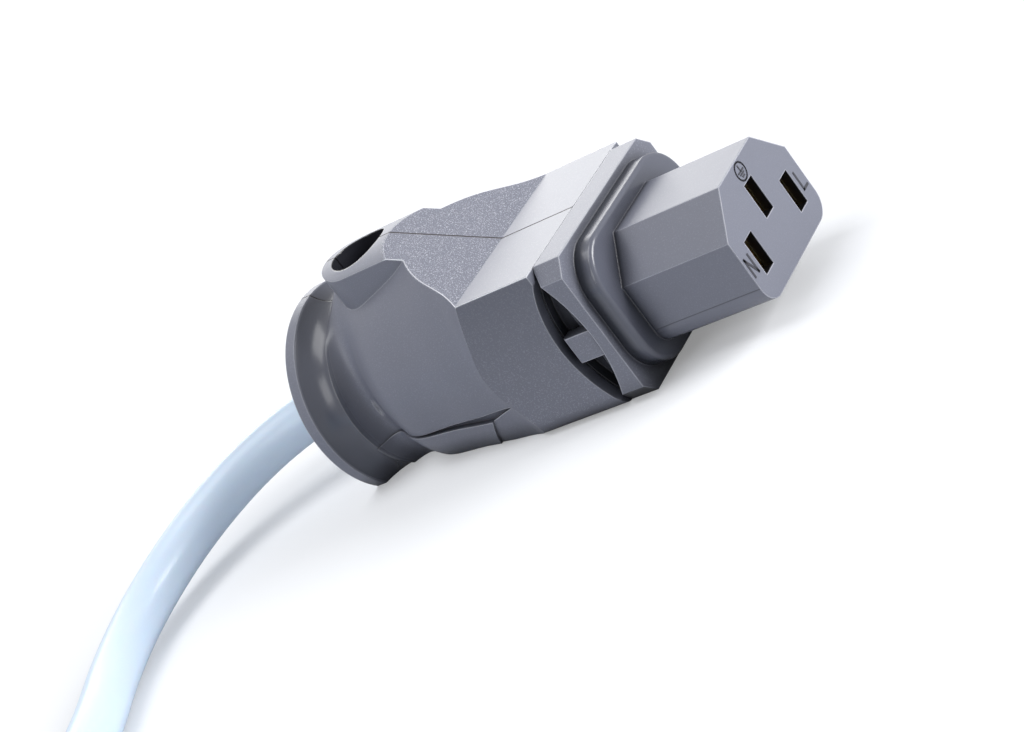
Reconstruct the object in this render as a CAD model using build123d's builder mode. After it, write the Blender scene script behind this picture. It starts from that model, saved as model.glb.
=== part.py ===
from build123d import *
import os
from math import cos, pi, radians, sin, sqrt, tan

# Power cord: a rewireable three-pole connector on a round cord, which is wound into a
# tied coil and ends in the matching rewireable plug.
# Frame: origin under the middle of the connector, on the surface it rests on.
# +X runs out of the connector's mating face, +Y to its left, +Z up. Millimetres.

# Housing, the same moulding on both ends of the cord
housing_width = 32.1            # across the square front
housing_height = 22.5           # flat bottom to flat top
shell_front_x = 12.36           # where the shells meet the plate of the carrier
shell_wall = 2.0
bottom_round = 2.3              # rounding of the two long bottom edges
seam_gap = 0.10                 # between the two shells, and between shells and plate
axis_z = 10.7                   # height of the cord and of the round waist
waist_front_x = 1.45            # where the waist starts to draw in
waist_rear_x = -31.55           # where the waist ends in the collar's flare
collar_rear_x = -37.45
collar_radius = 15.75
collar_rim = 1.8                # thickness of the rim
neck_radius = 13.4              # the waist is round where the flare begins
# Waist sections: place along X, half width, radius of each side's arc
waist_sections = [
    (waist_front_x, 19.8, 28.5),
    (-1.55, 17.6, 29.5),
    (-4.05, 16.15, 29.5),
    (-7.55, 15.75, 25.0),
    (-11.55, 15.5, 20.4),
    (-17.55, 14.85, 17.2),
    (-23.55, 14.1, 15.3),
    (waist_rear_x, neck_radius, neck_radius),
]
ramp_start_x = -0.55            # rear edge of the flat top
ramp_slope = 0.483              # rise of the ramp towards the screw boss

# Screw boss on the ramp
boss_x = -22.65
boss_half_width = 6.3
boss_top_radius = 19.3          # its top is turned about the waist's axis
screw_well_radius = 4.5
screw_seat_z = 24.0             # floor of the well
lug_thickness = 2.4
lug_clearance = 0.15

# Foot under the waist, and the wedge-shaped groove above it
foot_front_x = -12.0            # at the bottom, its front leans forward from there
foot_proud = 0.35
groove_top_z = 6.0
groove_front_x = -3.6
groove_wide_x = -8.5            # where the groove is widest, over the foot's front corner
groove_tip_x = -25.5
groove_width = 1.3
groove_depth = 0.6

# Side windows, where the latch tongues can be reached
window_radius = 18.2
window_mid_x = 9.45             # rear-most point of the window's edge
window_mid_z = 11.2
scoop_radius = 23.1             # matching hollow in the plate's side
scoop_mid_x = 15.15
scoop_depth = 2.5

# Carrier: plate, pad and mating nose
plate_thickness = 4.55
plate_chamfer = 2.15
pad_width = 29.0
pad_height = 20.0
pad_round = 6.0
pad_thickness = 3.0
pad_edge = 0.6
nose_reach = 20.54              # from plate to mating face
nose_width = 22.4
nose_height = 15.6
nose_chamfer = 5.3
nose_round = 3.0
mating_z = 11.46                # middle of the nose
pole_pitch = 7.0                # line and neutral, from the middle
pole_drop = 1.95                # line and neutral, below the middle
earth_rise = 2.1                # earth, above the middle
slot_width = 2.6
slot_height = 5.2
slot_lip = 1.5                  # thickness of the face round the slots

# Inside of the carrier
spigot_clearance = 0.2
spigot_rear_x = -1.2
spigot_relief = 1.55             # hollow behind each window, where the latch tongue gives
chamber_width = 4.2
chamber_height = 6.6
tail_rear_x = -27.0
tail_half_width = 7.3
tail_bottom_z = 4.3
tail_floor_z = 6.4               # under the cores
tail_top_z = 8.6                # under the clamp
saddle_front_x = -17.6
tongue_width = 4.0
tongue_reach = 4.8
tongue_inset = 0.4
tongue_mid_z = 10.2

# Contacts, pins and terminals
blade_thickness = 2.0
blade_height = 4.0
spring_wall = 0.7
spring_gap = 0.05
spring_length = 17.0
strip_width = 3.0
block_front_x = 9.0
block_length = 10.0
block_side = 6.0
block_shift = 0.9               # line and neutral blocks, outwards from their slots
wire_hole_share = 0.8           # of the block's length
conductor_share = 0.7
wire_hole_radius = 1.3
terminal_screw_radius = 1.45
terminal_head_radius = 2.5
terminal_head_height = 1.7
screw_clearance = 0.05
slot_cut_width = 0.7
slot_cut_depth = 0.8

# Housing screw
housing_screw_radius = 1.6
housing_head_radius = 3.9
housing_head_height = 2.4

# Cord clamp
clamp_front_x = -18.6
clamp_length = 7.6
clamp_half_width = 7.5
clamp_bottom_z = 12.0
clamp_top_z = 15.2
clamp_screw_y = 5.6
clamp_screw_radius = 1.1
clamp_head_radius = 2.1
clamp_head_height = 1.5
clamp_corner = 1.2

# Plug shroud and pins
shroud_width = 28.6
shroud_height = 21.4
shroud_round = 2.6
shroud_reach = 20.0
recess_clearance = 0.9          # round the nose that enters it
recess_depth = 17.0
pin_reach = 13.6
earth_pin_extra = 1.4

# Cord and cores
cord_diameter = 7.2
jacket_end_x = -16.4            # inside each housing
cord_hole_clearance = 0.25
bell_mouth = 3.0
core_radius = 1.15
core_circle = 1.5               # the cores lie round the middle of the cord
core_bend = 2.2 * core_radius
conductor_radius = 0.8
arc_share = 0.49                # of the shorter run that the arc at each corner takes

# Free stretch of the cord, from inside the connector's collar to the coil
route = [
    (-26.0, 0.0, 10.7),
    (-44.0, 0.0, 10.7),
    (-57.8, -5.8, 9.4),
    (-67.6, -17.0, 6.9),
    (-70.8, -31.5, 4.6),
    (-67.4, -45.9, 3.7),
    (-60.6, -59.0, 3.7),
    (-55.4, -75.0, 4.0),
    (-54.4, -91.0, 4.4),
    (-54.4, -116.0, 4.4),
]
# Free stretch from the coil's upper turn into the plug's collar
tail = [
    (-21.4, -98.2, 11.6),
    (-37.4, -98.2, 12.5),
    (-52.1, -104.6, 13.0),
    (-63.3, -116.5, 12.9),
    (-69.4, -132.0, 13.8),
    (-69.4, -148.8, 16.6),
    (-63.3, -164.3, 20.2),
    (-52.1, -176.2, 23.8),
    (-37.4, -182.6, 25.9),
    (-21.4, -182.6, 25.9),
]

# Coil: a spiral inwards on the floor, and one outwards on top of it
outer_turn = 51.6               # the cord's line where the lower spiral begins
inner_turn = 31.6
upper_turn = 45.8               # where the upper spiral ends
coil_corner = 3.0
entry_length = 28.0             # straight end of the turn that enters
entry_inset = 0.02              # keeps it clear of the ring's flat underside
strap_thickness = 0.6
strap_width = 13.0
strap_clearance = 0.2

cord_radius = cord_diameter / 2
lift = strap_thickness + strap_clearance
lower_z = lift + cord_radius
upper_z = lower_z + cord_diameter
coil_x = route[-1][0] + outer_turn
coil_y = route[-1][1] - entry_length
coil_plane = Plane(origin=(coil_x, coil_y, 0), x_dir=(1, 0, 0), z_dir=(0, -1, 0))

half_width = housing_width / 2
plate_rear_x = shell_front_x + seam_gap
plate_front_x = plate_rear_x + plate_thickness - seam_gap
face_x = plate_front_x + nose_reach
line_z = mating_z - pole_drop
earth_z = mating_z + earth_rise
cavity_half = half_width - shell_wall
spigot_half = cavity_half - spigot_clearance
cavity_bottom = shell_wall
cavity_top = housing_height - shell_wall
far_above = 2 * housing_height
# Poles: name, place across, height
poles = [("line", pole_pitch, line_z), ("neutral", -pole_pitch, line_z), ("earth", 0.0, earth_z)]


def waist_solid(grow):
    """The drawn-in waist, with its surface moved out by grow."""
    with BuildPart() as waist:
        for x, width, radius in waist_sections:
            side = width + grow
            arc = radius + grow
            rise = sqrt(arc**2 - (arc - side)**2)
            with BuildSketch(Plane.YZ.offset(x)):
                with BuildLine():
                    ThreePointArc((0, axis_z + rise), (side, axis_z), (0, axis_z - rise))
                    ThreePointArc((0, axis_z - rise), (-side, axis_z), (0, axis_z + rise))
                make_face()
        loft()
    return waist.part


def housing_outside():
    """Outer form of both shells together: square front, waist, flared collar, boss and foot."""
    ramp_rear_z = housing_height + ramp_slope * (ramp_start_x - collar_rear_x)
    with BuildPart() as form:
        add(waist_solid(0))
        with BuildSketch(Plane.YZ.offset(waist_front_x)):
            with Locations((0, mating_z)):
                Rectangle(2 * housing_width, far_above)
        extrude(amount=shell_front_x - waist_front_x)
        # Flared collar
        with BuildSketch(Plane.XZ):
            with BuildLine():
                neck = (waist_rear_x, axis_z + neck_radius)
                rim_front = (collar_rear_x + collar_rim, axis_z + collar_radius)
                rim_rear = (collar_rear_x, axis_z + collar_radius)
                TangentArc(neck, rim_front, tangent=(-1, 0))
                Polyline(rim_front, rim_rear, (collar_rear_x, axis_z), (waist_rear_x, axis_z), neck)
            make_face()
        revolve(axis=Axis((0, 0, axis_z), (1, 0, 0)))
        # Section of the square front, open above
        with BuildSketch(Plane.YZ.offset(collar_rear_x)) as section:
            with Locations((0, far_above / 2)):
                Rectangle(housing_width, far_above)
            fillet(section.vertices().group_by(Axis.Z)[0], bottom_round)
        extrude(amount=shell_front_x - collar_rear_x, mode=Mode.INTERSECT)
        # Side view: flat top, then the ramp
        with BuildSketch(Plane.XZ):
            with BuildLine():
                Polyline(
                    (shell_front_x, 0), (shell_front_x, housing_height),
                    (ramp_start_x, housing_height), (collar_rear_x, ramp_rear_z),
                    (collar_rear_x, 0), close=True)
            make_face()
        extrude(amount=housing_width, both=True, mode=Mode.INTERSECT)
    with BuildPart() as boss:
        with BuildSketch(Plane.XY.offset(axis_z)):
            with Locations((boss_x, 0)):
                Circle(boss_half_width)
            with Locations((boss_x / 2, 0)):
                Rectangle(-boss_x, 2 * boss_half_width)
        extrude(amount=far_above)
        with BuildSketch(Plane.YZ.offset(collar_rear_x)):
            with Locations((0, axis_z)):
                Circle(boss_top_radius)
        extrude(amount=shell_front_x - collar_rear_x, mode=Mode.INTERSECT)
        with BuildSketch(Plane.XZ):
            with BuildLine():
                Polyline(
                    (ramp_start_x, axis_z), (ramp_start_x, housing_height),
                    (collar_rear_x, ramp_rear_z), (collar_rear_x, axis_z), close=True)
            make_face()
        extrude(amount=housing_width, both=True, mode=Mode.INTERSECT)
    with BuildPart() as foot:
        add(waist_solid(foot_proud))
        with BuildSketch(Plane.XZ):
            with BuildLine():
                Polyline(
                    (waist_rear_x, 0), (foot_front_x, 0),
                    (groove_wide_x, groove_top_z - groove_width), (groove_tip_x, groove_top_z),
                    (waist_rear_x, groove_top_z), close=True)
            make_face()
        extrude(amount=housing_width, both=True, mode=Mode.INTERSECT)
    with BuildPart() as groove:
        with BuildSketch(Plane.XZ):
            with BuildLine():
                Polyline(
                    (groove_tip_x, groove_top_z), (groove_front_x, groove_top_z),
                    (groove_wide_x, groove_top_z - groove_width), close=True)
            make_face()
        extrude(amount=housing_width, both=True)
        add(waist_solid(-groove_depth), mode=Mode.SUBTRACT)
    with BuildPart() as outside:
        add(form.part)
        add(boss.part)
        add(foot.part)
        add(groove.part, mode=Mode.SUBTRACT)
    return outside.part


def shell(side, outside):
    """One shell, side +1 for the left and -1 for the right, from the common outer form."""
    mid_cavity_x = spigot_rear_x - spigot_clearance
    rear_cavity_x = -18.0
    rear_wall_x = -31.0
    mid_cavity_width = 21.0
    mid_cavity_height = 18.0
    rear_cavity_radius = 10.2
    cord_hole = cord_radius + cord_hole_clearance
    upper_lug_z = screw_seat_z - lug_thickness
    lower_lug_z = upper_lug_z - lug_clearance - lug_thickness
    lug_radius = screw_well_radius - lug_clearance
    with BuildPart() as half:
        add(outside)
        # Cavities, from the open front to the rear wall
        with BuildSketch(Plane.YZ.offset(shell_front_x)):
            with Locations((0, (cavity_bottom + cavity_top) / 2)):
                Rectangle(2 * cavity_half, cavity_top - cavity_bottom)
        extrude(amount=mid_cavity_x - shell_front_x, mode=Mode.SUBTRACT)
        with BuildSketch(Plane.YZ.offset(mid_cavity_x)):
            with Locations((0, axis_z)):
                RectangleRounded(mid_cavity_width, mid_cavity_height, shell_wall)
        extrude(amount=rear_cavity_x - mid_cavity_x, mode=Mode.SUBTRACT)
        with BuildSketch(Plane.YZ.offset(rear_cavity_x)):
            with Locations((0, axis_z)):
                Circle(rear_cavity_radius)
            with Locations((0, shell_wall / 2)):
                Rectangle(housing_width, shell_wall, mode=Mode.SUBTRACT)
        extrude(amount=rear_wall_x - rear_cavity_x, mode=Mode.SUBTRACT)
        # Cord hole with its bell mouth
        with BuildSketch(Plane.XZ):
            with BuildLine():
                hole_edge = (collar_rear_x + bell_mouth, axis_z + cord_hole)
                mouth_edge = (collar_rear_x, axis_z + cord_hole + bell_mouth)
                TangentArc(hole_edge, mouth_edge, tangent=(-1, 0))
                Polyline(
                    mouth_edge, (collar_rear_x, axis_z), (rear_wall_x, axis_z),
                    (rear_wall_x, axis_z + cord_hole), hole_edge)
            make_face()
        revolve(axis=Axis((0, 0, axis_z), (1, 0, 0)), mode=Mode.SUBTRACT)
        # Window in the side wall
        with BuildSketch(Plane.XZ.offset(-side * cavity_half)):
            with Locations((window_mid_x + window_radius, window_mid_z)):
                Circle(window_radius)
        extrude(amount=-side * housing_width, mode=Mode.SUBTRACT)
        # Well for the housing screw
        well_floor = screw_seat_z if side < 0 else upper_lug_z - lug_clearance
        with BuildSketch(Plane.XY.offset(well_floor)):
            with Locations((boss_x, 0)):
                Circle(screw_well_radius)
        extrude(amount=far_above, mode=Mode.SUBTRACT)
        # Keep this side of the seam
        with BuildSketch(Plane.XY):
            with Locations((0, side * (housing_width + seam_gap) / 2)):
                Rectangle(4 * housing_width, housing_width)
        extrude(amount=far_above, mode=Mode.INTERSECT)
        # The shells lap on two lugs under the screw, the right one above
        if side < 0:
            with BuildSketch(Plane.XY.offset(axis_z)):
                with Locations((boss_x, 0)):
                    Circle(screw_well_radius)
            extrude(amount=upper_lug_z - axis_z, mode=Mode.SUBTRACT)
        with BuildSketch(Plane.XY.offset(upper_lug_z if side < 0 else lower_lug_z)):
            with Locations((boss_x, 0)):
                Circle(lug_radius)
            if side > 0:
                with Locations((boss_x, lug_radius)):
                    Rectangle(2 * lug_radius, 2 * lug_radius)
        extrude(amount=lug_thickness)
        with Locations((boss_x, 0, lower_lug_z + lug_thickness)):
            Cylinder(housing_screw_radius + screw_clearance, 4 * lug_thickness, mode=Mode.SUBTRACT)
    return half.part


def carrier_body():
    """Plate, pad, spigot and tail, common to the connector and the plug."""
    saddle_radius = cord_radius + screw_clearance
    pocket_floor_z = mating_z - pole_drop - block_side / 2 - spigot_clearance
    pocket_width = block_side + 2 * spigot_clearance
    with BuildPart() as body:
        with BuildSketch(Plane.YZ.offset(plate_rear_x)) as plate:
            with Locations((0, housing_height / 2)):
                Rectangle(housing_width, housing_height)
            chamfer(plate.vertices(), plate_chamfer)
        extrude(amount=plate_front_x - plate_rear_x)
        # Hollow in each side of the plate
        with BuildSketch(Plane.XZ):
            with Locations((scoop_mid_x - scoop_radius, window_mid_z)):
                Circle(scoop_radius)
        extrude(amount=housing_width, both=True, mode=Mode.SUBTRACT)
        with BuildSketch(Plane.YZ.offset(plate_rear_x)) as core:
            with Locations((0, housing_height / 2)):
                Rectangle(housing_width - 2 * scoop_depth, housing_height)
        extrude(amount=plate_front_x - plate_rear_x)
        # Pad with a softened front edge
        with BuildSketch(Plane.YZ.offset(plate_front_x)):
            with Locations((0, mating_z)):
                RectangleRounded(pad_width, pad_height, pad_round)
        extrude(amount=pad_thickness)
        fillet(body.faces().sort_by(Axis.X)[-1].edges(), pad_edge)
        # Spigot behind the plate, a box open above and behind
        spigot_bottom = cavity_bottom + spigot_clearance
        spigot_height = cavity_top - cavity_bottom - 2 * spigot_clearance
        with BuildSketch(Plane.YZ.offset(spigot_rear_x)):
            with Locations((0, spigot_bottom + spigot_height / 2)):
                Rectangle(2 * spigot_half, spigot_height)
        extrude(amount=plate_rear_x - spigot_rear_x)
        for side in (1, -1):
            with BuildSketch(Plane.XZ.offset(-side * (spigot_half - spigot_relief))):
                with Locations((window_mid_x + window_radius, window_mid_z)):
                    Circle(window_radius)
                with Locations((plate_rear_x + window_radius, window_mid_z)):
                    Rectangle(2 * window_radius, 4 * window_radius, mode=Mode.SUBTRACT)
            extrude(amount=-side * housing_width, mode=Mode.SUBTRACT)
        for _, across, height in poles:
            _, pocket_middle, _ = terminal_place(across, height)
            with BuildSketch(Plane.XY.offset(pocket_floor_z)):
                with Locations(((block_front_x + spigot_rear_x) / 2, pocket_middle)):
                    Rectangle(block_front_x - spigot_rear_x + spigot_clearance, pocket_width)
            extrude(amount=housing_height, mode=Mode.SUBTRACT)
        # Tail with the lower half of the cord grip
        with BuildSketch(Plane.XZ):
            with BuildLine():
                Polyline(
                    (spigot_rear_x, tail_bottom_z), (tail_rear_x, tail_bottom_z),
                    (tail_rear_x, tail_top_z), (saddle_front_x, tail_top_z),
                    (saddle_front_x, tail_floor_z), (spigot_rear_x, tail_floor_z), close=True)
            make_face()
        extrude(amount=tail_half_width, both=True)
        with BuildSketch(Plane.YZ.offset(tail_rear_x)):
            with Locations((0, axis_z)):
                Circle(saddle_radius)
        extrude(amount=spigot_rear_x - tail_rear_x, mode=Mode.SUBTRACT)
        with Locations((clamp_front_x - clamp_length / 2, 0, tail_top_z)):
            with Locations((0, clamp_screw_y), (0, -clamp_screw_y)):
                Hole(clamp_screw_radius + screw_clearance)
    return body.part


def nose_outline():
    """Outline of the mating nose: two upper corners cut, two lower ones rounded."""
    with BuildSketch() as outline:
        Rectangle(nose_width, nose_height)
        upper = outline.vertices().group_by(Axis.Y)[-1]
        chamfer(upper, nose_chamfer)
        lower = outline.vertices().group_by(Axis.Y)[0]
        fillet(lower, nose_round)
    return outline.sketch


def latch_tongue(side):
    """Springy tongue that bridges the hollow in the plate's side, with its raised nub."""
    outer = half_width - tongue_inset
    inner = half_width - scoop_depth
    nub_x = scoop_mid_x - tongue_reach
    with BuildPart() as tongue:
        with BuildSketch(Plane.XY.offset(tongue_mid_z - tongue_width / 2)):
            with BuildLine():
                Polyline(
                    (plate_front_x, half_width * side), (scoop_mid_x, half_width * side),
                    (scoop_mid_x - seam_gap, outer * side), (nub_x + tongue_inset, outer * side),
                    (nub_x, (outer - tongue_inset) * side), (nub_x, inner * side),
                    (plate_front_x, inner * side), close=True)
            make_face()
        extrude(amount=tongue_width)
    return tongue.part


def contact_carrier_part():
    """Front of the connector: common body, solid nose, chambers and slots for the contacts."""
    with BuildPart() as carrier:
        add(carrier_body())
        add(latch_tongue(1))
        add(latch_tongue(-1))
        with BuildSketch(Plane.YZ.offset(plate_front_x)):
            with Locations((0, mating_z)):
                add(nose_outline())
        extrude(amount=nose_reach)
        for _, across, height in poles:
            with BuildSketch(Plane.YZ.offset(face_x)):
                with Locations((across, height)):
                    Rectangle(slot_width, slot_height)
            extrude(amount=-slot_lip, mode=Mode.SUBTRACT)
            with BuildSketch(Plane.YZ.offset(face_x - slot_lip)):
                with Locations((across, height)):
                    Rectangle(chamber_width, chamber_height)
            extrude(amount=block_front_x - face_x + slot_lip, mode=Mode.SUBTRACT)
    return carrier.part


def pin_carrier_part():
    """Front of the plug: common body with a shroud, a recess and three pin holes."""
    shroud_front_x = plate_front_x + shroud_reach
    floor_x = shroud_front_x - recess_depth
    with BuildPart() as carrier:
        add(carrier_body())
        add(latch_tongue(1))
        add(latch_tongue(-1))
        with BuildSketch(Plane.YZ.offset(plate_front_x)):
            with Locations((0, mating_z)):
                RectangleRounded(shroud_width, shroud_height, shroud_round)
        extrude(amount=shroud_reach)
        with BuildSketch(Plane.YZ.offset(floor_x)):
            with Locations((0, mating_z)):
                add(nose_outline())
            offset(amount=recess_clearance, kind=Kind.INTERSECTION)
        extrude(amount=recess_depth, mode=Mode.SUBTRACT)
        for _, across, height in poles:
            with BuildSketch(Plane.YZ.offset(floor_x)):
                with Locations((across, height)):
                    Rectangle(blade_thickness + 2 * spring_gap, blade_height + 2 * spring_gap)
            extrude(amount=block_front_x - floor_x, mode=Mode.SUBTRACT)
    return carrier.part


def terminal_place(across, height):
    """Middle of a terminal block, which lies a little outside its pole."""
    side = (across > 0) - (across < 0)
    return (block_front_x - block_length / 2, across + side * block_shift, height)


def terminal_block(across, height):
    """Brass block with a wire hole along X and a screw hole from above."""
    x, y, z = terminal_place(across, height)
    with BuildPart() as block:
        with Locations((x, y, z)):
            Box(block_length, block_side, block_side)
        chamfer(block.edges().filter_by(Axis.X), spring_gap * 6)
        with BuildSketch(Plane.YZ.offset(x - block_length / 2)):
            with Locations((y, z)):
                Circle(wire_hole_radius)
        extrude(amount=block_length * wire_hole_share, mode=Mode.SUBTRACT)
        with BuildSketch(Plane.XY.offset(z)):
            with Locations((x, y)):
                Circle(terminal_screw_radius + screw_clearance)
        extrude(amount=block_side, mode=Mode.SUBTRACT)
    return block.part


def female_contact(across, height):
    """Folded spring sleeve that grips a blade, on a strip riveted to its terminal block."""
    inner_width = blade_thickness + 2 * spring_gap
    inner_height = blade_height + 2 * spring_gap
    sleeve_front_x = face_x - slot_lip - seam_gap
    with BuildPart() as contact:
        add(terminal_block(across, height))
        with BuildSketch(Plane.YZ.offset(sleeve_front_x)):
            with Locations((across, height)):
                Rectangle(inner_width + 2 * spring_wall, inner_height + 2 * spring_wall)
                Rectangle(inner_width, inner_height, mode=Mode.SUBTRACT)
            with Locations((across, height - inner_height / 2)):
                Rectangle(inner_width / 2, 4 * spring_wall, mode=Mode.SUBTRACT)
        extrude(amount=-spring_length)
        with BuildSketch(Plane.YZ.offset(block_front_x)):
            with Locations((across, height + (inner_height + spring_wall) / 2)):
                Rectangle(strip_width, spring_wall)
        extrude(amount=sleeve_front_x - spring_length - block_front_x)
    return contact.part


def pin(across, height, reach):
    """Flat pin with a rounded lead-in, on its terminal block."""
    floor_x = plate_front_x + shroud_reach - recess_depth
    with BuildPart() as blade:
        with BuildSketch(Plane.YZ.offset(block_front_x)):
            with Locations((across, height)):
                Rectangle(blade_thickness, blade_height)
        extrude(amount=floor_x + reach - block_front_x)
        tip = blade.faces().sort_by(Axis.X)[-1].edges()
        chamfer(tip, blade_thickness / 4)
        add(terminal_block(across, height))
    return blade.part


def slotted_screw(x, y, seat_z, radius, head_radius, head_height, length):
    """Cheese-head screw that points down, its head on seat_z."""
    with BuildPart() as screw:
        with BuildSketch(Plane.XY.offset(seat_z)):
            with Locations((x, y)):
                Circle(head_radius)
        extrude(amount=head_height)
        chamfer(screw.faces().sort_by(Axis.Z)[-1].edges(), head_height / 6)
        with BuildSketch(Plane.XY.offset(seat_z)):
            with Locations((x, y)):
                Circle(radius)
        extrude(amount=-length)
        chamfer(screw.faces().sort_by(Axis.Z)[0].edges(), radius / 4)
        with Locations((x, y, seat_z + head_height - slot_cut_depth / 2)):
            Box(2 * head_radius, slot_cut_width, slot_cut_depth, mode=Mode.SUBTRACT)
    return screw.part


def clamp_bar():
    """Upper half of the cord grip, with two teeth across its groove."""
    middle_x = clamp_front_x - clamp_length / 2
    tooth = 2 * screw_clearance
    with BuildPart() as bar:
        with BuildSketch(Plane.XY.offset(clamp_bottom_z)):
            with Locations((middle_x, 0)):
                RectangleRounded(clamp_length, 2 * clamp_half_width, clamp_corner)
        extrude(amount=clamp_top_z - clamp_bottom_z)
        with BuildSketch(Plane.YZ.offset(clamp_front_x)):
            with Locations((0, axis_z)):
                Circle(cord_radius + tooth)
        extrude(amount=-clamp_length, mode=Mode.SUBTRACT)
        with Locations((middle_x, 0, clamp_top_z)):
            with Locations((0, clamp_screw_y), (0, -clamp_screw_y)):
                Hole(clamp_screw_radius + screw_clearance)
    return bar.part


def jacket_end():
    """End of the cord's jacket, through the clamp up to the cores."""
    with BuildPart() as end:
        with BuildSketch(Plane.YZ.offset(jacket_end_x)):
            with Locations((0, axis_z)):
                Circle(cord_radius)
        extrude(amount=route[0][0] - jacket_end_x)
    return end.part


def core(across, height):
    """One insulated core, from the jacket's end to its terminal, with the bared conductor."""
    block_x, block_y, block_z = terminal_place(across, height)
    block_rear_x = block_x - block_length / 2
    around = {1: -30, -1: 210, 0: 90}[(across > 0) - (across < 0)]
    start_y = core_circle * cos(radians(around))
    start_z = axis_z + core_circle * sin(radians(around))
    gap = block_rear_x - jacket_end_x
    path_points = [
        (jacket_end_x, start_y, start_z),
        (jacket_end_x + gap * 0.25, start_y, start_z),
        (jacket_end_x + gap * 0.75, block_y, block_z),
        (block_rear_x, block_y, block_z),
    ]
    with BuildPart() as wire:
        with BuildLine():
            FilletPolyline(*path_points, radius=core_bend)
        with BuildSketch(Plane(origin=path_points[0], x_dir=(0, 1, 0), z_dir=(1, 0, 0))):
            Circle(core_radius)
        sweep()
        with BuildSketch(Plane.YZ.offset(block_rear_x)):
            with Locations((block_y, block_z)):
                Circle(conductor_radius)
        extrude(amount=block_length * conductor_share)
    return wire.part


def tube_path(points):
    """Straight runs joined by tangent arcs, each as large as its two runs allow."""
    corners = [Vector(*p) for p in points]
    radii = []
    for before, here, after in zip(corners, corners[1:], corners[2:]):
        turn = (here - before).get_angle(after - here)
        shorter = min((here - before).length, (after - here).length)
        radii.append(arc_share * shorter / tan(radians(turn / 2)))
    print("cord radii", [round(r, 1) for r in radii])
    return FilletPolyline(*points, radius=radii)


def cord_tube(points, radius):
    """Plain tube along a route."""
    start = Vector(*points[0])
    along = Vector(*points[1]) - start
    with BuildPart() as tube:
        with BuildLine():
            path = tube_path(points)
        with BuildSketch(Plane(origin=start, z_dir=along)):
            Circle(radius)
        sweep()
    share = tube.part.volume / (pi * radius**2 * path.length)
    print("cord length", round(path.length, 1), "volume share", round(share, 6))
    return tube.part


def coil_section(inner, grow):
    """Section of the wound turns: two layers, the upper one ending further in."""
    outer = outer_turn + cord_radius
    step = upper_turn + cord_radius
    with BuildSketch() as section:
        with BuildLine():
            Polyline(
                (inner, lift), (outer, lift), (outer, lift + cord_diameter),
                (step, upper_z + cord_radius), (inner, upper_z + cord_radius), close=True)
        make_face()
        fillet(section.vertices(), coil_corner)
        offset(amount=grow)
    return section.sketch


def coil_solid():
    """Outer shape of the wound turns, with the straight end of the turn that enters."""
    trough = cord_tube(tail, cord_radius + lug_clearance)
    with BuildPart() as ring:
        with BuildSketch(coil_plane):
            add(coil_section(inner_turn - cord_radius, 0))
        revolve(axis=Axis((coil_x, coil_y, 0), (0, 0, 1)))
        with BuildSketch(Plane(origin=route[-1], x_dir=(1, 0, 0), z_dir=(0, -1, 0))):
            Circle(cord_radius - entry_inset)
        extrude(amount=entry_length)
        add(trough, mode=Mode.SUBTRACT)
    return ring.part


def coil_strap():
    """Hook-and-loop strap round the turns, on the side away from both ends."""
    inner = sqrt((inner_turn - cord_radius)**2 - (strap_width / 2)**2)
    with BuildPart() as strap:
        with BuildSketch(coil_plane):
            add(coil_section(inner, strap_clearance + strap_thickness))
            add(coil_section(inner, strap_clearance), mode=Mode.SUBTRACT)
        extrude(amount=strap_width / 2, both=True)
    return strap.part


def end_pieces():
    """Everything that both ends of the cord have in their housing, in the connector's place."""
    outside = housing_outside()
    pieces = {"left_shell": shell(1, outside), "right_shell": shell(-1, outside)}
    for pole, across, height in poles:
        x, y, z = terminal_place(across, height)
        pieces[pole + "_terminal_screw"] = slotted_screw(
            x, y, z + block_side / 2, terminal_screw_radius, terminal_head_radius,
            terminal_head_height, block_side / 2 - conductor_radius)
        pieces[pole + "_core"] = core(across, height)
    pieces["housing_screw"] = slotted_screw(
        boss_x, 0, screw_seat_z, housing_screw_radius, housing_head_radius,
        housing_head_height, 2 * lug_thickness)
    pieces["cord_clamp"] = clamp_bar()
    for side, y in (("left", clamp_screw_y), ("right", -clamp_screw_y)):
        pieces[side + "_clamp_screw"] = slotted_screw(
            clamp_front_x - clamp_length / 2, y, clamp_top_z, clamp_screw_radius,
            clamp_head_radius, clamp_head_height, clamp_top_z - tail_bottom_z)
    pieces["jacket_end"] = jacket_end()
    return pieces


# Both ends, the free cord and its coil
plug_place = Location((
    tail[-1][0] - route[0][0],
    tail[-1][1],
    upper_z + cord_radius,
))
nodes = {}
for name, piece in end_pieces().items():
    nodes["connector_" + name] = piece
    nodes["plug_" + name] = piece.moved(plug_place)
nodes["connector_contact_carrier"] = contact_carrier_part()
nodes["plug_pin_carrier"] = pin_carrier_part().moved(plug_place)
for pole, across, height in poles:
    reach = pin_reach + (earth_pin_extra if pole == "earth" else 0)
    nodes["connector_" + pole + "_contact"] = female_contact(across, height)
    nodes["plug_" + pole + "_pin"] = pin(across, height, reach).moved(plug_place)
nodes["cord"] = cord_tube(route, cord_radius)
nodes["cord_tail"] = cord_tube(tail, cord_radius)
nodes["cord_coil"] = coil_solid()
nodes["coil_strap"] = coil_strap()

os.makedirs("parts", exist_ok=True)
for name, piece in nodes.items():
    piece.label = name
    export_step(piece, "parts/" + name + ".step")
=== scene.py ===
"""Power cord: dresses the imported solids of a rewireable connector, its cord and its plug."""
import math

import bmesh
import bpy
from bpy.props import FloatProperty, FloatVectorProperty, IntProperty, PointerProperty
from bpy.types import Operator, Panel, PropertyGroup
from mathutils import Matrix, Vector


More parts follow.
